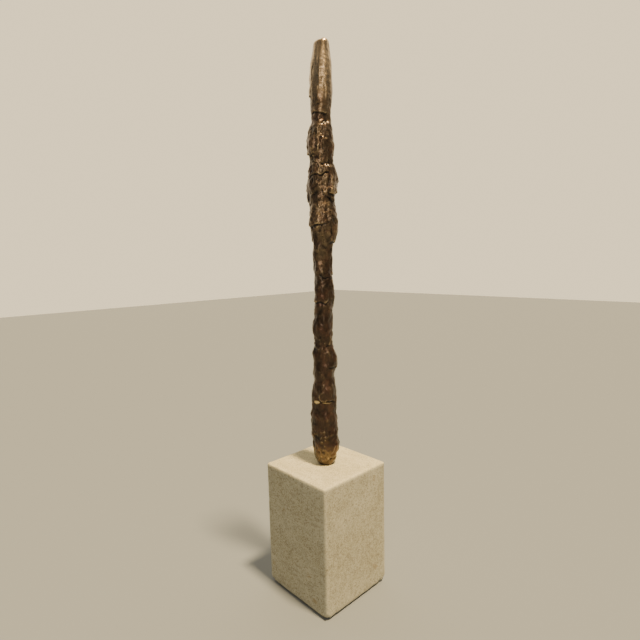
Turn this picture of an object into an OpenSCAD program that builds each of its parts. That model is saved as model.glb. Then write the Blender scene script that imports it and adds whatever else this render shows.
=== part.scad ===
// Display plinth: a honed limestone block that carries a rough-cast bronze upright.
// The bronze stands on one steel stud, which runs down through the block and is
// pulled tight by a lock nut in a recess in the underside. Four felt pads carry it all.
// Millimetres, +Z up. The origin is under the middle of the block, on the table.

/* [Stone block] */
// Width of the block, left to right
block_width = 100; // [80:1:160]
// Depth of the block, front to back
block_depth = 100; // [80:1:160]
// Height of the block alone
block_height = 150; // [90:1:220]
// Radius of the eased edges
arris_radius = 2.5; // [1:0.5:5]

/* [Bronze upright] */
// Height of the bronze above the block
upright_height = 475; // [250:1:700]
// Width of the bronze at its widest swelling
upright_width = 33; // [28:1:44]
// Width of the flat foot that stands on the stone
foot_width = 18; // [17:0.5:26]

/* [Stud and nut] */
// Outside diameter of the threaded stud
stud_diameter = 8; // [6:1:10]
// How far the stud is screwed into the bronze
stud_grip = 30; // [20:1:40]
// How far the stud's end shows past the nut
stud_tail = 4; // [2:0.5:6]
// Gap all round the stud in the stone
stud_gap = 1; // [0.5:0.25:2]
// Diameter of the recess for the nut
recess_diameter = 34; // [32:1:45]
// Depth of the recess for the nut
recess_depth = 26; // [26:1:40]
// Outside diameter of the fibre washer against the stone
cushion_diameter = 28; // [24:1:30]
// Thickness of the fibre washer
cushion_thickness = 2; // [1:0.5:3]
// Outside diameter of the flat steel washer
washer_diameter = 24; // [20:1:26]
// Thickness of the flat steel washer
washer_thickness = 2; // [1.5:0.5:3]
// Width of the spring washer's section
spring_width = 3; // [2:0.5:3.5]
// Thickness of the spring washer
spring_thickness = 2; // [1.5:0.5:2.5]
// Width of the nut across its flats
nut_flats = 13; // [13:1:17]
// Height of the nut's hexagon
nut_height = 6.5; // [5:0.5:8]
// Height of the round collar that holds the nylon ring
collar_height = 1.8; // [1.5:0.1:3]

/* [Felt pads] */
// Diameter of each pad
pad_diameter = 16; // [10:1:24]
// Thickness of each pad
pad_thickness = 2; // [1:0.5:5]
// Distance from a pad's edge to the faces of the block
pad_margin = 6; // [3:1:10]

/* [Hidden] */

overlap = 1;            // how far a cutter runs past what it cuts
fit_gap = 0.05;         // between the stud and what is threaded on it
washer_gap = 0.4;       // between the stud and the washers
stud_chamfer = 0.8;     // on both of the stud's ends
bore_facets = 96;

block_bottom = pad_thickness;
block_top = block_bottom + block_height;
recess_top = block_bottom + recess_depth;

// The stack in the recess hangs from the recess's roof, one piece under the other
cushion_bottom = recess_top - cushion_thickness;
washer_bottom = cushion_bottom - washer_thickness;
spring_bottom = washer_bottom - spring_thickness;
nut_bottom = spring_bottom - nut_height;
collar_bottom = nut_bottom - collar_height;
stud_bottom = collar_bottom - stud_tail;
stud_top = block_top + stud_grip;

stud_radius = stud_diameter / 2;
threaded_radius = stud_radius + fit_gap;
washer_hole_radius = stud_radius + washer_gap;
spring_radius = washer_hole_radius + spring_width;
split_gap = 1;          // where the spring washer is cut through
split_tilt = 25;        // degrees that the cut leans from upright

// The nut's collar stands just inside its flats and holds the nylon ring in its wall
collar_inset = 0.35;
collar_wall = 0.5;
collar_radius = nut_flats / 2 - collar_inset;
insert_radius = collar_radius - collar_wall;

// The swellings of the bronze from the foot up. Each row: length along the height,
// half width and half depth as shares of the widest, and the depth of the crease
// at its lower end
swellings = [
    [42, 0.98, 0.92, 0.00],
    [28, 0.97, 0.94, 0.06],
    [40, 0.91, 0.86, 0.08],
    [44, 0.79, 0.82, 0.13],
    [38, 0.74, 0.70, 0.12],
    [44, 0.66, 0.72, 0.07],
    [36, 0.65, 0.68, 0.05],
    [50, 0.94, 0.82, 0.06],
    [46, 1.00, 0.86, 0.08],
    [44, 0.90, 0.82, 0.16],
    [86, 0.75, 0.72, 0.13]];
last = len(swellings) - 1;
lean_size = 1.5;        // how far each swelling leans off the stud's axis
lean_turn = 152;        // degrees from one swelling's lean to the next
tip_lean = 4;           // how far the tip stands off the stud's axis
tip_lean_turn = 47;     // degrees round from +X that it leans towards
slant_size = 3;         // how far one side of a crease is above the axis
slant_turn = 137.5;     // degrees from one crease's slant to the next
flat_share = 0.03;      // how far the section is from a true ellipse
flat_turn = 0.9;        // degrees that its three flat sides turn for each millimetre up
flat_start = 20;        // height over which the flat sides grow out of the round foot
tip_share = 0.52;       // half width of the tip, before it rounds over
tip_rounding = 7;
tip_slant = 1.2;
tip_slant_turn = 60;
ring_sides = 32;
rings_each = 7;         // for each swelling
tip_rings = 5;

function sum_to(n) = n == 0 ? 0 : swellings[n - 1][0] + sum_to(n - 1);
function mix(a, b, t) = a + (b - a) * t;
function smooth(t) = t * t * (3 - 2 * t);
function toward(a) = [cos(a), sin(a)];

// Height of the crease under swelling n, above the foot
body_height = upright_height - tip_rounding;
function crease_height(n) = body_height * sum_to(n) / sum_to(last + 1);

// Half size of the crease under swelling n, in column c of the table
function crease_size(n, c) =
    n == 0 ? foot_width / upright_width :
    n > last ? tip_share :
    min(swellings[n - 1][c], swellings[n][c]) * (1 - swellings[n][3]);

// A swelling leaves a crease at once and rounds over in its middle
function half_size(n, t, c) =
    upright_width / 2 * mix(crease_size(t < 0.5 ? n : n + 1, c), swellings[n][c],
                            sin(180 * t));

// The stem's centre wanders from one swelling's lean to the next, and the whole stem
// leans a little towards its tip
function lean(n) = n < 0 ? [0, 0] : lean_size * toward(lean_turn * n);
function wander(n, t) =
    t < 0.5 ? mix((lean(n - 1) + lean(n)) / 2, lean(n), smooth(2 * t))
            : mix(lean(n), (lean(n) + lean(min(n + 1, last))) / 2, smooth(2 * t - 1));
function centre(n, t) =
    wander(n, t) + tip_lean * toward(tip_lean_turn)
        * mix(crease_height(n), crease_height(n + 1), t) / body_height;

// How a crease rises across the stem, and how the rings between two creases follow
function slant(n) =
    n == 0 ? [0, 0] :
    n > last ? tip_slant * toward(tip_slant_turn) : slant_size * toward(slant_turn * n);

// One ring of swelling n, where t runs from 0 at its lower crease to 1 at its upper
function ring(n, t, shrink = 1, rise = 0) =
    let (h = mix(crease_height(n), crease_height(n + 1), t),
         tilt = mix(slant(n), slant(n + 1), t) * shrink,
         middle = centre(n, t))
    [for (side = [0 : ring_sides - 1])
        let (a = 360 * side / ring_sides,
             flats = 1 + flat_share * min(1, h / flat_start) * cos(3 * a + flat_turn * h),
             out = shrink * flats)
        [middle[0] + out * half_size(n, t, 1) * cos(a),
         middle[1] + out * half_size(n, t, 2) * sin(a),
         h + rise + tilt * toward(a)]];

// Rings up the stem, then a few that round the tip over
rings = concat(
    [for (n = [0 : last], i = [0 : rings_each - 1]) ring(n, i / rings_each)],
    [for (i = [0 : tip_rings - 1])
        let (a = 90 * i / tip_rings)
        ring(last, 1, cos(a), tip_rounding * sin(a))]);
tip_point = [each centre(last, 1), upright_height];

module stem() {
    count = len(rings);
    points = concat([for (r = rings) each r], [tip_point]);
    foot = [[for (side = [0 : ring_sides - 1]) side]];
    walls = [
        for (i = [0 : count - 2], side = [0 : ring_sides - 1], half = [0, 1])
            let (a = i * ring_sides + side,
                 b = i * ring_sides + (side + 1) % ring_sides)
            half == 0 ? [a, a + ring_sides, b] : [b, a + ring_sides, b + ring_sides]];
    cap = [
        for (side = [0 : ring_sides - 1])
            [(count - 1) * ring_sides + side, count * ring_sides,
             (count - 1) * ring_sides + (side + 1) % ring_sides]];
    polyhedron(points, concat(foot, walls, cap), convexity = 4);
}

// A bar of the given length along Z with rounded long edges
module rounded_bar(width, depth, length) {
    linear_extrude(length, center = true) {
        square([width - 2 * arris_radius, depth], center = true);
        square([width, depth - 2 * arris_radius], center = true);
        for (x = [-1, 1], y = [-1, 1])
            translate([x * (width / 2 - arris_radius), y * (depth / 2 - arris_radius)])
                circle(arris_radius, $fn = bore_facets);
    }
}

// A cylinder from one height to another, for shafts and for cutting bores
module column(radius, bottom, top) {
    translate([0, 0, bottom])
        cylinder(top - bottom, r = radius, $fn = bore_facets);
}

// A round plate on the stud's axis with a hole in it
module ring_plate(outer_radius, inner_radius, bottom, top) {
    difference() {
        column(outer_radius, bottom, top);
        column(inner_radius, bottom - overlap, top + overlap);
    }
}

module stone_block() {
    color([0.79, 0.73, 0.61])
        difference() {
            translate([0, 0, block_bottom + block_height / 2])
                intersection() {
                    rounded_bar(block_width, block_depth, block_height);
                    rotate([90, 0, 0])
                        rounded_bar(block_width, block_height, block_depth);
                    rotate([0, 90, 0])
                        rounded_bar(block_height, block_depth, block_width);
                }
            column(stud_radius + stud_gap, block_bottom, block_top + overlap);
            column(recess_diameter / 2, block_bottom - overlap, recess_top);
        }
}

module bronze_upright() {
    color([0.33, 0.22, 0.13])
        difference() {
            translate([0, 0, block_top])
                stem();
            column(threaded_radius, block_top - overlap, stud_top + fit_gap);
        }
}

module mounting_stud() {
    color([0.72, 0.73, 0.74]) {
        column(stud_radius, stud_bottom + stud_chamfer, stud_top - stud_chamfer);
        translate([0, 0, stud_top - stud_chamfer])
            cylinder(stud_chamfer, stud_radius, stud_radius - stud_chamfer, $fn = bore_facets);
        translate([0, 0, stud_bottom])
            cylinder(stud_chamfer, stud_radius - stud_chamfer, stud_radius, $fn = bore_facets);
    }
}

module cushion_washer() {
    color([0.45, 0.25, 0.16])
        ring_plate(cushion_diameter / 2, washer_hole_radius, cushion_bottom, recess_top);
}

module load_washer() {
    color([0.75, 0.76, 0.77])
        ring_plate(washer_diameter / 2, washer_hole_radius, washer_bottom, cushion_bottom);
}

// A split ring, cut through on one side
module spring_washer() {
    color([0.60, 0.61, 0.62])
        difference() {
            ring_plate(spring_radius, washer_hole_radius, spring_bottom, washer_bottom);
            translate([spring_radius - spring_width / 2, 0,
                       (spring_bottom + washer_bottom) / 2])
                rotate([split_tilt, 0, 0])
                    cube([2 * spring_width, split_gap, 3 * spring_thickness], center = true);
        }
}

module lock_nut() {
    color([0.70, 0.71, 0.72])
        difference() {
            union() {
                translate([0, 0, nut_bottom])
                    cylinder(nut_height, r = nut_flats / sqrt(3), $fn = 6);
                column(collar_radius, collar_bottom, nut_bottom + overlap);
            }
            column(threaded_radius, collar_bottom - overlap, spring_bottom + overlap);
            column(insert_radius, collar_bottom - overlap, nut_bottom);
        }
}

module nut_insert() {
    color([0.85, 0.87, 0.88])
        ring_plate(insert_radius, threaded_radius, collar_bottom, nut_bottom);
}

// Side is -1 for left or front, and 1 for right or back
module foot_pad(side_x, side_y) {
    color([0.20, 0.17, 0.15])
        translate([side_x * (block_width / 2 - pad_margin - pad_diameter / 2),
                   side_y * (block_depth / 2 - pad_margin - pad_diameter / 2), 0])
            cylinder(pad_thickness, r = pad_diameter / 2, $fn = bore_facets);
}

stone_block();
bronze_upright();
mounting_stud();
cushion_washer();
load_washer();
spring_washer();
lock_nut();
nut_insert();
foot_pad(-1, -1);  // foot_pad_front_left
foot_pad(1, -1);  // foot_pad_front_right
foot_pad(-1, 1);  // foot_pad_back_left
foot_pad(1, 1);  // foot_pad_back_right
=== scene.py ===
import bpy
import math
import numpy as np
from mathutils import Matrix, Vector, noise


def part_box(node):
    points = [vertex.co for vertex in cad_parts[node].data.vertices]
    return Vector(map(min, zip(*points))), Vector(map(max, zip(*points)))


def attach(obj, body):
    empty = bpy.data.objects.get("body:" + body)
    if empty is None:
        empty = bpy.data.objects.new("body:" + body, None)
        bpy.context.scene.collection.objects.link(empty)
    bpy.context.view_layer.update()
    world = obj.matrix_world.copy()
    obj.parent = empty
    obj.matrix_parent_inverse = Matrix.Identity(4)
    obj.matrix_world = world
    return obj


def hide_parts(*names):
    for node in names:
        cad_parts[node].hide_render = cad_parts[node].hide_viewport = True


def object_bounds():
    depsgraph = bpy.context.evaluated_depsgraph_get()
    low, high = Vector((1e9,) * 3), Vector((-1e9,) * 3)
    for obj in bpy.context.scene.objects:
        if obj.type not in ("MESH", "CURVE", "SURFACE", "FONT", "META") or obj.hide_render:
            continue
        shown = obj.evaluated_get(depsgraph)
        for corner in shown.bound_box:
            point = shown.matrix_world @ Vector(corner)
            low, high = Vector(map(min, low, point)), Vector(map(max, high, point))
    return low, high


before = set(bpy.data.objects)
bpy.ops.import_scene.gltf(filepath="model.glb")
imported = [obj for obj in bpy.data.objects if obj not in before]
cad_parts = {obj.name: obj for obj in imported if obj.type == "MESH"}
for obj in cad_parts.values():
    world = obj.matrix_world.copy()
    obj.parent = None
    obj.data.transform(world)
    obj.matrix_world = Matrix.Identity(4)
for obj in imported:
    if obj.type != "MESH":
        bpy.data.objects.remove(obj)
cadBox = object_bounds()
mm = 0.001
print("frame loaded")


def linear(hexColor):  # an sRGB hex colour as the linear numbers a shader wants
    parts = [int(hexColor[i:i + 2], 16) / 255 for i in (1, 3, 5)]
    return [c / 12.92 if c <= 0.04045 else ((c + 0.055) / 1.055) ** 2.4 for c in parts] + [1.0]


def grey(value):
    return [value, value, value, 1.0]


def deselect():
    if bpy.context.object and bpy.context.object.mode != "OBJECT":
        bpy.ops.object.mode_set(mode="OBJECT")
    bpy.ops.object.select_all(action="DESELECT")


def activate(obj):
    deselect()
    obj.select_set(True)
    bpy.context.view_layer.objects.active = obj


def editAll(obj):  # edit mode with everything selected
    activate(obj)
    bpy.ops.object.mode_set(mode="EDIT")
    bpy.ops.mesh.select_all(action="SELECT")


def settled(name):  # the object just added, named, with its place and size put into its mesh
    obj = bpy.context.object
    activate(obj)
    bpy.ops.object.transform_apply(location=True, rotation=True, scale=True)
    obj.name = name
    return obj


def modify(obj, kind, **settings):
    activate(obj)
    modifier = obj.modifiers.new(kind.title(), kind)
    for key, value in settings.items():
        setattr(modifier, key, value)
    bpy.ops.object.modifier_apply(modifier=modifier.name)
    return obj


def cut(obj, tool):
    modify(obj, "BOOLEAN", operation="DIFFERENCE", object=tool, solver="EXACT")
    bpy.data.objects.remove(tool)


def easeEdges(obj, width, segments=3, angle=50):
    return modify(obj, "BEVEL", width=width * mm, segments=segments, limit_method="ANGLE",
                  angle_limit=math.radians(angle))


def cadCopy(node, name):  # a merged copy of a CAD node's mesh, as a new object
    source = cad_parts[node]
    obj = bpy.data.objects.new(name, source.data.copy())
    bpy.context.scene.collection.objects.link(obj)
    editAll(obj)
    bpy.ops.mesh.remove_doubles(threshold=0.005 * mm)
    bpy.ops.object.mode_set(mode="OBJECT")
    return obj


def place(obj, body, node, slotName, material, angle=40):
    activate(obj)
    bpy.ops.object.shade_smooth_by_angle(angle=math.radians(angle))
    obj.data.materials.clear()
    obj.data.materials.append(material)
    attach(obj, body)
    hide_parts(node)


# Sculpting helpers: both seen pieces are worn and uneven all over, so their points are moved in code

def readPoints(obj, field="co"):
    flat = np.empty(len(obj.data.vertices) * 3)
    obj.data.vertices.foreach_get(field, flat)
    return flat.reshape(-1, 3)


def writePoints(obj, points):
    obj.data.vertices.foreach_set("co", points.ravel())
    obj.data.update()


def paint(obj, name, values):  # a number at each point, for a material to read
    layer = obj.data.attributes.new(name, "FLOAT", "POINT")
    layer.data.foreach_set("value", np.clip(values, 0, 1).astype(np.float32))


def wander(points, scale, seed=0.0, octaves=1):  # smooth noise, about -1 to 1; scale in mm
    size = np.asarray(scale, float) * mm * np.ones(3)
    return np.array([noise.fractal(Vector(p), 1.0, 2.0, octaves) for p in points / size + seed])


def step(value, low, high):
    t = np.clip((value - low) / (high - low), 0, 1)
    return t * t * (3 - 2 * t)


def inBand(share, start, end, soft=0.015):  # 1 between two shares of the height, fading at both
    return step(share, start - soft, start + soft) * (1 - step(share, end - soft, end + soft))


def spread(obj, value, rounds):  # evens a number out over neighbouring points
    ends = np.empty(len(obj.data.edges) * 2, np.int64)
    obj.data.edges.foreach_get("vertices", ends)
    a, b = ends.reshape(-1, 2).T
    count = np.maximum(np.bincount(a, minlength=len(value)) + np.bincount(b, minlength=len(value)), 1)
    for _ in range(rounds):
        near = (np.bincount(a, value[b], len(value)) + np.bincount(b, value[a], len(value))) / count
        value = 0.5 * value + 0.5 * near
    return value


def standing(obj, rounds):  # how far each point stands out of those around it, in metres
    points, out = readPoints(obj), readPoints(obj, "normal")
    around = np.stack([spread(obj, points[:, k].copy(), rounds) for k in range(3)], 1)
    return ((points - around) * out).sum(1)


cameraView = dict(
    lens=26.77,                          # mm, on a sensor 36 mm wide
    place=(0.3936, -0.3732, 0.3919),     # metres
    turn=46.80, dip=7.235, roll=-1.337)  # degrees


def addCamera(v):
    a, e, r = (math.radians(v[k]) for k in ("turn", "dip", "roll"))
    back = Vector((math.sin(a) * math.cos(e), -math.cos(a) * math.cos(e), math.sin(e)))
    right = Vector((math.cos(a), math.sin(a), 0))
    up = back.cross(right)
    tiltedRight = right * math.cos(r) + up * math.sin(r)
    tiltedUp = up * math.cos(r) - right * math.sin(r)
    data = bpy.data.cameras.new("camera")
    data.lens, data.sensor_width = v["lens"], 36
    camera = bpy.data.objects.new("camera", data)
    bpy.context.scene.collection.objects.link(camera)
    axes = Matrix((tiltedRight, tiltedUp, back)).transposed().to_4x4()
    camera.matrix_world = Matrix.Translation(v["place"]) @ axes
    bpy.context.scene.camera = camera


addCamera(cameraView)


def add(tree, kind, stops=(), **settings):  # a node: capital keys are its inputs, the rest its own settings
    node = tree.nodes.new("ShaderNode" + kind)
    for key, value in settings.items():
        if key[0].islower():
            setattr(node, key, value)
    for key, value in settings.items():
        if key[0].isupper():
            socket = next(s for s in node.inputs if s.enabled and s.name == key.replace("_", " "))
            if isinstance(value, bpy.types.NodeSocket):
                tree.links.new(value, socket)
            else:
                socket.default_value = value
    for i, (position, color) in enumerate(stops):
        elements = node.color_ramp.elements
        element = elements[i] if i < 2 else elements.new(position)
        element.position, element.color = position, color
    return next(s for s in node.outputs if s.enabled)


def startMaterial(name, **uniform):
    material = bpy.data.materials.new(name)
    material.use_nodes = True
    tree = material.node_tree
    shader = tree.nodes["Principled BSDF"]
    for key, value in uniform.items():
        shader.inputs[key.replace("_", " ")].default_value = value
    where = tree.nodes.new("ShaderNodeTexCoord").outputs["Object"]
    return material, tree, shader, where


room = dict(
    floor="#80868A", floorSize=8, floorGap=0.02,  # metres across, and mm under the pads
    wall="#E8D7B8", wallLight=1.75, dim="#8A8B8C", dimLight=0.50, backdrop="#EAD6AE",
    toWall=(-0.73, 0.68, 0.35),  # a pale wall and ceiling behind the object, and a dim room in front
    keyFrom=(0.50, 0.05, 1.44), keySoftness=7.0, keyStrength=8.6, keyColor="#FFDFA9",
    fillPlace=(0.90, -0.96, 0.86), fillAim=(0, 0, 0.45), fillSize=0.50, fillPower=5.6,
    fillColor="#FFE9C8")


def addLamp(name, kind, place, aim, hexColor, **settings):
    data = bpy.data.lights.new(name, kind)
    data.color = linear(hexColor)[:3]
    for key, value in settings.items():
        setattr(data, key, value)
    lamp = bpy.data.objects.new(name, data)
    bpy.context.scene.collection.objects.link(lamp)
    lamp.location = place
    lamp.rotation_euler = (Vector(aim) - Vector(place)).to_track_quat("-Z", "Y").to_euler()


def addFloor(r):
    deselect()
    bpy.ops.mesh.primitive_plane_add(size=r["floorSize"],
                                     location=(0, 0, cadBox[0].z - r["floorGap"] * mm))
    floor = settled("floor")
    floorPaint = startMaterial("paintedFloor", Base_Color=linear(r["floor"]), Roughness=0.9)[0]
    floor.data.materials.append(floorPaint)


def addWorld(r):  # a gradient lights the object, and the camera sees one pale tone behind it
    world = bpy.data.worlds.new("world")
    bpy.context.scene.world = world
    world.use_nodes = True
    tree = world.node_tree
    facing = add(tree, "VectorMath", operation="DOT_PRODUCT").node
    tree.links.new(tree.nodes.new("ShaderNodeTexCoord").outputs["Generated"], facing.inputs[0])
    facing.inputs[1].default_value = r["toWall"]
    bright = [c * r["wallLight"] for c in linear(r["wall"])]
    dark = [c * r["dimLight"] for c in linear(r["dim"])]
    lit = add(tree, "ValToRGB", Fac=facing.outputs["Value"], stops=[(0.05, dark), (0.90, bright)])
    lit.node.color_ramp.interpolation = "EASE"
    plain = [c * r["wallLight"] for c in linear(r["backdrop"])]
    shown = add(tree, "Mix", data_type="RGBA", Factor=add(tree, "LightPath"), A=lit, B=plain)
    tree.links.new(shown, tree.nodes["Background"].inputs["Color"])


def addLamps(r):
    addLamp("key", "SUN", r["keyFrom"], (0, 0, 0), r["keyColor"], energy=r["keyStrength"],
            angle=math.radians(r["keySoftness"]))
    addLamp("fill", "AREA", r["fillPlace"], r["fillAim"], r["fillColor"], energy=r["fillPower"],
            shape="DISK", size=r["fillSize"])


addFloor(room)
addWorld(room)
addLamps(room)
print("camera and room made")


# Limestone, sawn and honed: dead matte cream, a faint drift of tone in the beds, fine shell grit
# and a few darker and rusty flecks. The grit is really under 1 mm and is drawn at 1.3 mm so as to show
limestone = dict(
    base="#CAC2A0", pale="#DAD3B1", deep="#BBB28E", grit="#7C705C", rust="#94794C",
    sideShade="#E0E5F5",  # painted shade: the sides' stone is multiplied by this, which makes it a little darker and bluer than the top
    cloudSize=45, bedSize=5.0, gritSize=1.3, blotchSize=4.0, fleckSize=11, rustSize=30)  # mm


def limestoneMaterial(s):
    material, tree, shader, where = startMaterial("honedLimestone", Roughness=0.88, Specular_IOR_Level=0.3)
    cloud = add(tree, "TexNoise", Vector=where, Scale=1000 / s["cloudSize"], Detail=6.0, Roughness=0.65)
    body = add(tree, "ValToRGB", Fac=cloud,
               stops=[(0.25, linear(s["deep"])), (0.75, linear(s["pale"])), (0.5, linear(s["base"]))])
    lying = add(tree, "Mapping", Vector=where, Scale=(0.3, 0.7, 1.0))
    upright = add(tree, "Mapping", Vector=where, Scale=(1.0, 1.0, 0.3))
    beds = add(tree, "TexNoise", Vector=lying, Scale=1000 / s["bedSize"], Detail=4.0)
    saws = add(tree, "TexNoise", Vector=upright, Scale=1000 / s["bedSize"], Detail=4.0)
    side = add(tree, "Attribute", attribute_name="faceX")
    streak = add(tree, "Mix", data_type="RGBA", Factor=side, A=beds, B=saws)
    tone = add(tree, "ValToRGB", Fac=streak, stops=[(0.36, grey(0.84)), (0.60, grey(1.0))])
    body = add(tree, "Mix", data_type="RGBA", blend_type="MULTIPLY", Factor=0.8, A=body, B=tone)
    blotch = add(tree, "TexNoise", Vector=where, Scale=1000 / s["blotchSize"], Detail=3.0, Roughness=0.55)
    tone = add(tree, "ValToRGB", Fac=blotch, stops=[(0.36, grey(0.80)), (0.56, grey(1.0))])
    body = add(tree, "Mix", data_type="RGBA", blend_type="MULTIPLY", Factor=0.75, A=body, B=tone)
    fine = add(tree, "TexNoise", Vector=where, Scale=1000 / s["gritSize"], Detail=2.0, Roughness=0.6)
    dark = add(tree, "ValToRGB", Fac=fine, stops=[(0.52, grey(0)), (0.70, grey(0.75))])
    body = add(tree, "Mix", data_type="RGBA", Factor=dark, A=body, B=linear(s["grit"]))
    light = add(tree, "ValToRGB", Fac=fine, stops=[(0.30, grey(0.8)), (0.47, grey(0))])
    body = add(tree, "Mix", data_type="RGBA", Factor=light, A=body, B=linear(s["pale"]))
    for name, color in (("stain", s["rust"]), ("fleck", s["grit"])):
        mark = add(tree, "Attribute", attribute_name=name)
        body = add(tree, "Mix", data_type="RGBA", Factor=mark, A=body, B=linear(color))
    for size, color, amount in ((s["fleckSize"], s["grit"], 0.5), (s["rustSize"], s["rust"], 0.45)):
        rough = add(tree, "TexNoise", Vector=where, Scale=400.0, Detail=2.0)
        cell = add(tree, "TexVoronoi", Vector=where, Scale=1000 / size)
        ragged = add(tree, "Mix", Factor=0.28, A=cell, B=rough)
        spot = add(tree, "ValToRGB", Fac=ragged, stops=[(0.16, grey(amount)), (0.23, grey(0))])
        body = add(tree, "Mix", data_type="RGBA", Factor=spot, A=body, B=linear(color))
    worn = add(tree, "Attribute", attribute_name="rubbed")
    body = add(tree, "Mix", data_type="RGBA", Factor=worn, A=body, B=linear(s["pale"]))
    # painted shade: the sides and the underside are multiplied darker and bluer than the top
    sideShade = add(tree, "Attribute", attribute_name="sideShade")
    body = add(tree, "Mix", data_type="RGBA", blend_type="MULTIPLY", Factor=sideShade, A=body,
               B=linear(s["sideShade"]))
    tree.links.new(body, shader.inputs["Base Color"])
    bump = add(tree, "Bump", Height=fine, Strength=0.3, Distance=0.2 * mm)
    tree.links.new(bump, shader.inputs["Normal"])
    return material


# Cast bronze under a brown chemical patina and wax: dark and half glossy in the hollows, with painted shade
# in the creases and under the lips, rubbed through to dull gold on what stands out, at the tip and at the
# foot, with fine casting pits
bronze = dict(dark="#120D0A", brown="#33231B", red="#4F352A", gold="#D8C09C", bright="#E9CF98",
              patchSize=11, grainSize=1.2, pitSize=3.4)  # mm


def bronzeMaterial(s):
    material, tree, shader, where = startMaterial("patinatedBronze", Coat_Weight=0.25, Coat_Roughness=0.28)
    drawn = add(tree, "Mapping", Vector=where, Scale=(1.0, 1.0, 0.8))
    patch = add(tree, "TexNoise", Vector=drawn, Scale=1000 / s["patchSize"], Detail=6.0, Roughness=0.65)
    body = add(tree, "ValToRGB", Fac=patch,
               stops=[(0.30, linear(s["dark"])), (0.68, linear(s["red"])), (0.50, linear(s["brown"]))])
    worn = add(tree, "Attribute", attribute_name="worn")
    grain = add(tree, "TexNoise", Vector=where, Scale=1000 / s["grainSize"], Detail=4.0, Roughness=0.65)
    broken = add(tree, "ValToRGB", Fac=grain, stops=[(0.32, grey(0.55)), (0.55, grey(1.0))])
    rubbed = add(tree, "Mix", data_type="RGBA", blend_type="MULTIPLY", Factor=1.0, A=worn, B=broken)
    body = add(tree, "Mix", data_type="RGBA", Factor=rubbed, A=body, B=linear(s["gold"]))
    # dark patina in the hollows, and painted shade in the creases, in the valleys beside them and under each
    # lip
    patinaAndShade = add(tree, "Attribute", attribute_name="patinaAndShade")
    body = add(tree, "Mix", data_type="RGBA", Factor=patinaAndShade, A=body, B=linear(s["dark"]))
    nick = add(tree, "Attribute", attribute_name="nick")
    body = add(tree, "Mix", data_type="RGBA", Factor=nick, A=body, B=linear(s["bright"]))
    tree.links.new(body, shader.inputs["Base Color"])
    bare = add(tree, "Mix", data_type="RGBA", blend_type="ADD", Factor=1.0, A=rubbed, B=nick)
    metal = add(tree, "ValToRGB", Fac=bare, stops=[(0.0, grey(0.7)), (0.5, grey(1.0))])
    tree.links.new(metal, shader.inputs["Metallic"])
    gloss = add(tree, "ValToRGB", Fac=grain, stops=[(0.35, grey(0.30)), (0.70, grey(0.46))])
    gloss = add(tree, "Mix", data_type="RGBA", Factor=rubbed, A=gloss, B=grey(0.33))
    tree.links.new(gloss, shader.inputs["Roughness"])
    pit = add(tree, "TexVoronoi", Vector=where, Scale=1000 / s["pitSize"])
    pits = add(tree, "ValToRGB", Fac=pit, stops=[(0.08, grey(0)), (0.24, grey(1))])
    height = add(tree, "Mix", data_type="RGBA", Factor=0.35, A=grain, B=pits)
    depth = add(tree, "ValToRGB", Fac=worn, stops=[(0.2, grey(0.45)), (0.8, grey(0.14))])
    bump = add(tree, "Bump", Height=height, Strength=depth, Distance=0.28 * mm)
    tree.links.new(bump, shader.inputs["Normal"])
    return material


# Steel hardware, rolled or stamped: a fine grain in the plating, drawn at about 1 mm, and duller patches
def steelMaterial(name, hexColor, rough, grainSize):
    material, tree, shader, where = startMaterial(name, Metallic=1.0)
    grain = add(tree, "TexNoise", Vector=where, Scale=1000 / grainSize, Detail=3.0)
    dull = [c * 0.72 for c in linear(hexColor)[:3]] + [1]
    amount = add(tree, "ValToRGB", Fac=grain, stops=[(0.35, grey(0.5)), (0.65, grey(0))])
    body = add(tree, "Mix", data_type="RGBA", Factor=amount, A=linear(hexColor), B=dull)
    tree.links.new(body, shader.inputs["Base Color"])
    gloss = add(tree, "ValToRGB", Fac=grain, stops=[(0.3, grey(rough - 0.06)), (0.7, grey(rough + 0.1))])
    tree.links.new(gloss, shader.inputs["Roughness"])
    bump = add(tree, "Bump", Height=grain, Strength=0.15, Distance=0.05 * mm)
    tree.links.new(bump, shader.inputs["Normal"])
    return material


# Pressed fibre, nylon and wool felt: a tangle too fine to show, drawn at 0.5 to 2 mm
def tangledMaterial(name, hexColor, rough, tangleSize, depth, **uniform):
    material, tree, shader, where = startMaterial(name, Roughness=rough, **uniform)
    tangle = add(tree, "TexNoise", Vector=where, Scale=1000 / tangleSize, Detail=5.0, Roughness=0.75,
                 Distortion=1.2)
    dark = [c * 0.55 for c in linear(hexColor)[:3]] + [1]
    amount = add(tree, "ValToRGB", Fac=tangle, stops=[(0.35, grey(0.8)), (0.65, grey(0))])
    body = add(tree, "Mix", data_type="RGBA", Factor=amount, A=linear(hexColor), B=dark)
    tree.links.new(body, shader.inputs["Base Color"])
    bump = add(tree, "Bump", Height=tangle, Strength=0.6, Distance=depth * mm)
    tree.links.new(bump, shader.inputs["Normal"])
    return material


honedLimestone = limestoneMaterial(limestone)
patinatedBronze = bronzeMaterial(bronze)
studSteel = steelMaterial("zincPlatedStudSteel", "#B9BABC", rough=0.34, grainSize=0.8)
washerSteel = steelMaterial("zincPlatedWasherSteel", "#C2C3C5", rough=0.30, grainSize=1.2)
springSteel = steelMaterial("plainSpringSteel", "#7E7F82", rough=0.42, grainSize=0.9)
nutSteel = steelMaterial("zincPlatedNutSteel", "#B4B6B8", rough=0.32, grainSize=1.0)
vulcanisedFibre = tangledMaterial("vulcanisedFibre", "#75402A", rough=0.62, tangleSize=0.9, depth=0.08)
mouldedNylon = tangledMaterial("mouldedNylon", "#D9DDE0", rough=0.42, tangleSize=2.0, depth=0.02,
                               Subsurface_Weight=0.1)
woolFelt = tangledMaterial("pressedWoolFelt", "#3A332E", rough=0.95, tangleSize=0.45, depth=0.35,
                           Sheen_Weight=0.5)
print("materials made")


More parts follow.
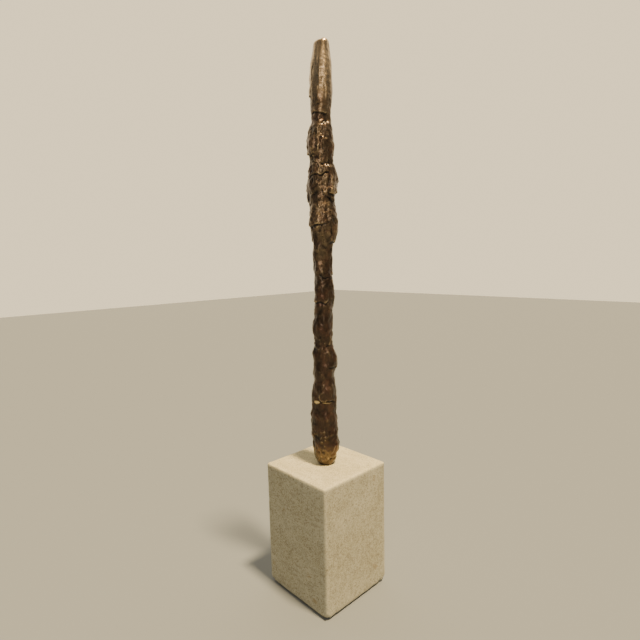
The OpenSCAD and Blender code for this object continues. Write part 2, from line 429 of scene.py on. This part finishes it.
block = dict(
    grid=1.05,          # mm between points
    unevenness=0.10,    # mm, how far the honed faces wander
    rubbing=0.35,       # mm taken off the arrises, unevenly
    cornerRadius=5.0,   # mm, the four bottom corners are knocked round
    chips=(             # side in x, side in y, height and size in mm: small bites out of the arrises
        (-1, -1, 104, 2.2), (-1, -1, 97, 1.5), (-0.90, -1, 0, 3.2), (-0.78, -1, 0, 2.3), (-0.62, -1, 0, 1.5),
        (-0.1, -1, 0, 1.4), (0.35, -1, 0, 1.7), (0.88, -1, 0, 2.2), (1, -0.72, 0, 1.6), (1, 0.2, 0, 1.3),
        (1, 0.55, 0, 2.0), (1, 0.78, 0, 3.1), (1, 0.92, 0, 2.3), (1, 1, 40, 1.7), (1, 1, 121, 1.4),
        (0.2, 1, 0, 2.0), (-0.7, 1, 0, 2.4), (-1, 0.3, 0, 1.8), (-1, 0.85, 0, 2.3), (-1, 1, 75, 1.9),
        (-0.4, 1, 150, 1.5), (-1, 0.5, 150, 1.4)),
    stains=(            # x, y, z and size in mm, and strength: faint rusty patches
        (31, -50, 15, 5, 0.5), (-50, 12, 96, 7, 0.35), (8, 50, 38, 6, 0.3)),
    flecks=(            # x, y, z and size in mm, and strength: small dark grains
        (-1, -50, 30, 1.7, 0.8), (14, -50, 27, 1.3, 0.7), (-8, -50, 108, 1.5, 0.6),
        (-31, -50, 106, 1.3, 0.5), (50, 8, 112, 1.3, 0.6), (50, 23, 60, 1.4, 0.5),
        (-50, -20, 50, 1.6, 0.7), (-12, 50, 92, 1.5, 0.7)))


def knockCorners(points, low, half, radius):  # the bottom corners come in to a ball of this radius
    centre = np.array(half) - radius
    offset = np.stack([np.abs(points[:, 0]) - centre[0], np.abs(points[:, 1]) - centre[1],
                       low.z + radius - points[:, 2]], 1)
    inCorner = (offset > 0).all(1)
    pull = np.minimum(1, radius / np.maximum(np.linalg.norm(offset, axis=1), 1e-9))
    moved = offset * pull[:, None] - offset
    points[:, :2] += np.sign(points[:, :2]) * moved[:, :2] * inCorner[:, None]
    points[:, 2] -= moved[:, 2] * inCorner


def spots(points, marks, ragged):  # how strongly each point is covered by a list of ragged spots
    total = np.zeros(len(points))
    for x, y, z, size, strength in marks:
        away = np.linalg.norm((points / mm - (x, y, z)) / (size, size, 0.6 * size), axis=1)
        total = np.maximum(total, strength * (1 - step(away * ragged, 0.4, 1.2)))
    return total


def makeBlock(b):
    low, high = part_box("stone_block")
    obj = cadCopy("stone_block", "stoneBlock")
    half = (high - low) / 2
    for i, (x, y, height, size) in enumerate(b["chips"]):
        deselect()
        bpy.ops.mesh.primitive_ico_sphere_add(subdivisions=2, radius=size * mm,
                                              location=(x * half.x, y * half.y, low.z + height * mm),
                                              rotation=(i * 1.3, i * 0.7, i * 2.1), scale=(1.5, 0.9, 0.75))
        cut(obj, settled("chip"))
    modify(obj, "REMESH", mode="VOXEL", voxel_size=b["grid"] * mm, use_smooth_shade=True)
    points, out = readPoints(obj), readPoints(obj, "normal")
    lowest, highest = np.array(low), np.array(high)
    inset = np.minimum(points - lowest, highest - points)
    near = np.sort(inset, axis=1)
    arris = 1 - step(np.hypot(near[:, 0], near[:, 1]), 1.0 * mm, 6.0 * mm)
    rub = (0.5 + 0.5 * wander(points, 9, 7.7, 2)) * arris * b["rubbing"]
    points += out * ((wander(points, 30, 3.1, 2) * b["unevenness"] - rub) * mm)[:, None]
    knockCorners(points, low, half, b["cornerRadius"] * mm)
    writePoints(obj, np.clip(points, lowest, highest))
    paint(obj, "rubbed", arris * (0.25 + 0.35 * wander(points, 5, 1.3, 2)))
    paint(obj, "faceX", np.abs(out[:, 0]))
    ragged = 1.0 + 0.35 * wander(points, 2.5, 6.6, 2)
    paint(obj, "stain", spots(points, b["stains"], ragged))
    paint(obj, "fleck", spots(points, b["flecks"], ragged))
    paint(obj, "sideShade", 1 - out[:, 2])  # painted shade: every face but the top is painted darker and bluer, so the top is the palest face
    place(obj, "plinth", "stone_block", "limestone", honedLimestone, angle=50)


makeBlock(block)
print("stone block made")


upright = dict(
    grid=0.74,                       # mm between points
    lumps=1.4, dents=0.8, flow=0.22, grit=0.13, plates=0.8, knobs=0.6, rings=0.13,  # mm
    groove=0.6, waist=0.4,           # mm, how deep a crease goes, and how far it draws in what is near
    fill=1.3,                        # mm, how far a faint crease is filled in
    creases=((0.083, 0.4), (0.139, 1.0), (0.218, 0.4), (0.305, 1.0), (0.380, 0.2), (0.467, 0.9),
             (0.538, 0.5), (0.637, 0.8), (0.728, 0.3), (0.815, 0.8)),  # share of the height, depth
    footBand=(0.025, 0.065), tipBand=(0.82, 0.95), ringBand=(0.84, 0.97),  # shares of the height
    plateBand=(0.54, 0.80), platesUp=24,
    knobBands=((0.035, 0.10), (0.30, 0.335), (0.56, 0.80)),
    slabs=(                          # share of height, turn, half width, length, thickness: lapped-on slabs
        (0.118, 200, 13, 30, 1.2), (0.165, 330, 12, 22, 0.9), (0.245, 20, 12, 34, 1.2),
        (0.330, 140, 12, 36, 1.2), (0.405, 295, 11, 30, 0.9), (0.470, 85, 12, 38, 1.2),
        (0.545, 50, 12, 46, 2.1), (0.585, 285, 13, 34, 1.5), (0.640, 180, 13, 40, 1.7),
        (0.655, 25, 11, 44, 2.3), (0.700, 300, 13, 40, 1.6), (0.745, 245, 12, 34, 1.6),
        (0.770, 120, 13, 40, 1.7), (0.835, 300, 12, 50, 1.2), (0.875, 215, 10, 44, 1.3)),
    footTaper=1.4,                   # mm taken off above the foot, so that it is a blunt stub and not a ball
    boreDepth=32,                    # mm, the tapped hole in the foot is left as it is up to here
    nickHeight=0.161, nickTurn=274, lineTurn=330,  # share of height, degrees round
    tipNotch=1.8, notchTurn=235,     # mm, degrees round
    wear=0.04, bandWear=0.13, footWear=0.17)  # how much of the patina is gone all over, above, at the foot


def middleLine(points, low, high, slices=60):  # the middle of the upright at each point's height
    levels = np.linspace(low.z, high.z, slices)
    index = np.clip(np.digitize(points[:, 2], levels), 1, slices - 1)
    return np.stack([np.interp(points[:, 2], levels[1:],
                               [points[index == i, k].mean() if (index == i).any() else 0
                                for i in range(1, slices)]) for k in (0, 1)], 1)


# Thin plates lap down over one another in the upper part
def plateShapes(u, points, share, around):
    warp = wander(points, (9, 9, 30), 2.9, 2)
    saw = (share * u["platesUp"] + 0.9 * warp + 0.3 * np.sin(2 * around + 1.0)) % 1.0
    present = step(wander(points, 12, 6.1, 1), -0.15, 0.25)
    return step(saw, 0.0, 0.07) * (1 - saw) * present * inBand(share, *u["plateBand"], 0.03) * u["plates"]


# Slabs pressed on to the side: each thickens downwards and ends in a broken lip
def slabShapes(u, points, share, around, radius, tall):
    slabs = np.zeros(len(points))
    under = np.zeros(len(points))
    for i, (height, turn, halfWidth, length, thickness) in enumerate(u["slabs"]):
        away = (around - math.radians(turn) + math.pi) % (2 * math.pi) - math.pi
        sideways = np.abs(away) * radius / mm + 2.0 * wander(points, 7, 30.0 + i, 1)
        above = (share - height) * tall / mm + 3.0 * wander(points, (8, 8, 20), 50.0 + i, 2)
        across = 1 - step(sideways, 0.72 * halfWidth, halfWidth)
        slab = step(above, 0, 0.9) * (1 - step(above, 0.3 * length, length)) * across * thickness
        slabs = np.maximum(slabs, slab)
        under = np.maximum(under, np.exp(-((above + 0.9) / 1.0) ** 2) * across)
    return slabs, under


# Creases run part of the way round between the swellings
def creaseShapes(u, points, share, around, tall):
    creases = np.zeros(len(points))
    waists = np.zeros(len(points))
    filled = np.zeros(len(points))
    for i, (height, depth) in enumerate(u["creases"]):
        wave = 0.010 * np.sin(around + 2.1 * i) + 0.006 * wander(points, 8, 4.0 + i, 2)
        gap = (share - height - wave) * tall / mm
        there = step(wander(points, 14, 20.0 + i, 1), -0.05, 0.3)
        creases = np.maximum(creases, np.exp(-(gap / 1.8) ** 2) * there * depth)
        waists = np.maximum(waists, np.exp(-(gap / 4.5) ** 2) * (0.15 + 0.85 * there) * depth)
        filled = np.maximum(filled, np.exp(-(gap / 5.5) ** 2) * (1 - there) * (1 - depth))
    return creases, waists, filled


# One bright nick low down, and a scratched line that runs on from it
def nickShapes(u, points, share, around, tall):
    height = np.abs(share - u["nickHeight"]) * tall / mm + 0.4 * wander(points, 4, 70.0, 1)
    toNick = step(np.cos(around - math.radians(u["nickTurn"])), 0.945, 1.0)
    toLine = step(np.cos(around - math.radians(u["lineTurn"])), 0.88, 0.97)
    nick = (1 - step(height, 0.8 * toNick, 0.2 + 2.2 * toNick)) * step(toNick, 0.0, 0.3)
    line = 0.5 * (1 - step(height, 0.1, 0.5)) * toLine
    return nick, line


# The patina is rubbed through on what stands out, and stays dark in what lies back
def uprightWear(u, obj, points, share, tip, foot):
    fine, broad = standing(obj, 3), standing(obj, 14)
    fine, broad = fine / np.percentile(np.abs(fine), 90), broad / np.percentile(np.abs(broad), 90)
    raised = 0.2 * step(fine, 0.6, 2.2) + 0.5 * step(broad, 0.3, 2.0)
    sunk = 0.4 * step(-fine, 0.4, 1.6) + 0.6 * step(-broad, 0.2, 1.5)
    patches = step(wander(points, (8, 8, 24), 8.3, 3), -0.35, 0.45)
    level = u["wear"] + u["bandWear"] * inBand(share, 0.5, 0.9, 0.05) + u["footWear"] * foot
    worn = level * (0.35 + 0.65 * patches) + (0.05 + 0.75 * patches ** 2) * raised
    return worn + tip * (0.6 + 0.4 * patches), sunk


def makeUpright(u):
    low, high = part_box("bronze_upright")
    obj = cadCopy("bronze_upright", "bronzeUpright")
    modify(obj, "REMESH", mode="VOXEL", voxel_size=u["grid"] * mm, use_smooth_shade=True)
    sharp = readPoints(obj)
    modify(obj, "SMOOTH", factor=0.5, iterations=5)
    points, out = readPoints(obj), readPoints(obj, "normal")
    tall = high.z - low.z
    keep = (1 - step((sharp[:, 2] - low.z) / tall, 0.006, 0.03))[:, None]  # the foot stays crisp and flat
    points = keep * sharp + (1 - keep) * points
    share = (points[:, 2] - low.z) / tall
    fromMiddle = points[:, :2] - middleLine(points, low, high)
    radius = np.maximum(np.hypot(*fromMiddle.T), 1e-6)
    around = np.arctan2(fromMiddle[:, 1], fromMiddle[:, 0])
    fromBore = np.hypot(points[:, 0], points[:, 1])
    bore = (1 - step(fromBore, 4.8 * mm, 6.5 * mm)) * (points[:, 2] < low.z + u["boreDepth"] * mm)
    free = (1 - bore) * step(share, 0.001, 0.015)
    tip = step(share, *u["tipBand"])
    foot = 1 - step(share, *u["footBand"])

    lumps = wander(points, (13, 13, 22), 1.7, 2) * u["lumps"] * (1 - 0.35 * tip)
    dents = wander(points, (6.5, 6.5, 8), 3.9, 2) * u["dents"] * (1 - 0.7 * tip + foot)
    flow = wander(points, (3.0, 3.0, 26), 5.2, 2) * u["flow"] * (0.35 + 0.65 * step(share, 0.4, 0.6))
    grit = wander(points, 1.9, 9.4, 2) * u["grit"] * (1 - 0.7 * tip)
    knobs = sum(inBand(share, *band) for band in u["knobBands"])
    knobs = knobs * wander(points, (3.5, 3.5, 4.5), 12.3, 2) * u["knobs"]
    rings = wander(points, (16, 16, 1.5), 14.0, 2) * u["rings"] * inBand(share, *u["ringBand"])
    plates = plateShapes(u, points, share, around)
    slabs, under = slabShapes(u, points, share, around, radius, tall)
    creases, waists, filled = creaseShapes(u, points, share, around, tall)
    nick, line = nickShapes(u, points, share, around, tall)

    move = lumps + dents + flow + grit + knobs + rings + plates + slabs - 0.6 * nick - 0.2 * line
    move += u["fill"] * filled - u["waist"] * waists
    move -= np.minimum(u["groove"] * creases + 0.35 * under, 0.9)
    points += out * (move * free * mm)[:, None]
    up = (points[:, 2] - low.z) / mm
    taper = step(up, 1, 10) * (1 - step(up, 14, 26)) * step(radius, 6 * mm, 9 * mm) * u["footTaper"] * mm
    points[:, :2] -= fromMiddle * (taper / radius)[:, None]
    uneven = 0.5 + 0.5 * np.cos(around - math.radians(u["notchTurn"])) + 0.5 * wander(points, 4, 90.0, 1)
    points[:, 2] -= step(points[:, 2], high.z - 6 * mm, high.z) * uneven * u["tipNotch"] * mm
    points[:, 2] = np.maximum(points[:, 2], low.z)
    writePoints(obj, points)

    worn, sunk = uprightWear(u, obj, points, share, tip, foot)
    paint(obj, "worn", worn)
    # painted shade: the creases, the valleys beside them and the band under each lip are darkened, on top of
    # the dark patina in what lies back; less at the tip
    paint(obj, "patinaAndShade", (sunk + 0.7 * creases + 0.35 * waists + 0.6 * under) * (1 - 0.6 * tip))
    paint(obj, "nick", nick + line)
    place(obj, "upright", "bronze_upright", "bronze", patinatedBronze, angle=80)


makeUpright(upright)
print("bronze upright made")


hardware = dict(pitch=1.25, threadDepth=0.55, studRadius=4.0, endTaper=0.3, washerHole=4.4, edge=0.25,  # mm
                sides=96)


def makeRing(node, name, h, edge):  # a flat ring: a disc drilled through, its edges eased
    low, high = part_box(node)
    middle = (0, 0, (low.z + high.z) / 2)
    deselect()
    bpy.ops.mesh.primitive_cylinder_add(vertices=h["sides"], radius=(high.x - low.x) / 2,
                                        depth=high.z - low.z, location=middle)
    ring = settled(name)
    deselect()
    bpy.ops.mesh.primitive_cylinder_add(vertices=h["sides"], radius=h["washerHole"] * mm,
                                        depth=4 * (high.z - low.z), location=middle)
    cut(ring, settled("drill"))
    return easeEdges(ring, edge)


def makeStud(h):
    low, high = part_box("mounting_stud")
    crest, root, pitch = h["studRadius"] * mm, (h["studRadius"] - h["threadDepth"]) * mm, h["pitch"] * mm
    start = low.z - 2 * pitch
    deselect()
    bpy.ops.mesh.primitive_plane_add(size=1)  # its four points become one turn's profile
    obj = settled("mountingStud")
    editAll(obj)
    bpy.ops.mesh.delete(type="ONLY_FACE")
    bpy.ops.object.mode_set(mode="OBJECT")
    profile = {0: (root, start), 1: (crest, start + 0.4 * pitch), 3: (crest, start + 0.6 * pitch),
               2: (root, start + pitch)}
    for i, (radius, height) in profile.items():
        obj.data.vertices[i].co = (radius, 0, height)
    editAll(obj)
    bpy.ops.mesh.select_all(action="DESELECT")
    bpy.ops.object.mode_set(mode="OBJECT")
    for edge in obj.data.edges:  # the edge from root to root would close the profile
        edge.select = set(edge.vertices) == {0, 2}
    bpy.ops.object.mode_set(mode="EDIT")
    bpy.ops.mesh.select_mode(type="EDGE")
    bpy.ops.mesh.delete(type="EDGE")
    bpy.ops.mesh.select_mode(type="VERT")
    modify(obj, "SCREW", angle=2 * math.pi, screw_offset=pitch, steps=24, render_steps=24,
           iterations=int((high.z - low.z) / pitch) + 4, use_merge_vertices=True, merge_threshold=0.02 * mm)
    for level, outward in ((low.z, 1), (high.z, -1)):
        editAll(obj)
        bpy.ops.mesh.bisect(plane_co=(0, 0, level), plane_no=(0, 0, outward), clear_inner=True,
                            use_fill=True, threshold=0.002 * mm)
    bpy.ops.object.mode_set(mode="OBJECT")
    points = readPoints(obj)
    toEnd = np.minimum(points[:, 2] - low.z, high.z - points[:, 2])
    limit = root - h["endTaper"] * mm + np.maximum(toEnd, 0)  # both ends are chamfered at 45 degrees
    radius = np.maximum(np.hypot(points[:, 0], points[:, 1]), 1e-9)
    points[:, :2] *= np.minimum(1, limit / radius)[:, None]
    writePoints(obj, points)
    editAll(obj)
    bpy.ops.mesh.remove_doubles(threshold=0.002 * mm)
    bpy.ops.mesh.normals_make_consistent(inside=False)
    bpy.ops.object.mode_set(mode="OBJECT")
    place(obj, "upright", "mounting_stud", "stud_steel", studSteel, angle=30)


def makeWashers(h):
    cushion = makeRing("cushion_washer", "cushionWasher", h, 1.6 * h["edge"])
    place(cushion, "plinth", "cushion_washer", "fibre", vulcanisedFibre)
    load = makeRing("load_washer", "loadWasher", h, h["edge"])
    place(load, "plinth", "load_washer", "zinc_steel", washerSteel)
    split = easeEdges(cadCopy("spring_washer", "springWasher"), 0.8 * h["edge"], 2)
    place(split, "upright", "spring_washer", "spring_steel", springSteel)


def makeNut(h):
    nut = easeEdges(cadCopy("lock_nut", "lockNut"), 1.3 * h["edge"], 3, 45)
    place(nut, "upright", "lock_nut", "nut_steel", nutSteel)
    ring = easeEdges(cadCopy("nut_insert", "nutInsert"), 0.7 * h["edge"], 2)
    place(ring, "upright", "nut_insert", "nylon", mouldedNylon)


makeStud(hardware)
makeWashers(hardware)
makeNut(hardware)
print("hardware made")


pads = dict(edge=0.7, fuzz=0.07, grid=0.45)  # mm


def makePad(node, name, p, seed):
    obj = easeEdges(cadCopy(node, name), p["edge"])
    low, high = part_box(node)
    modify(obj, "REMESH", mode="VOXEL", voxel_size=p["grid"] * mm, use_smooth_shade=True)
    points, out = readPoints(obj), readPoints(obj, "normal")
    edge = 1 - np.abs(out[:, 2])
    points += out * (wander(points, 0.9, seed, 2) * edge * p["fuzz"] * mm)[:, None]
    points[:, 2] = np.clip(points[:, 2], low.z, high.z)
    writePoints(obj, points)
    place(obj, "plinth", node, "felt", woolFelt, angle=60)


for seed, (depth, side) in enumerate([(d, s) for d in ("front", "back") for s in ("left", "right")]):
    makePad(f"foot_pad_{depth}_{side}", f"footPad{depth.title()}{side.title()}", pads, 3.0 + seed)
print("felt pads made")
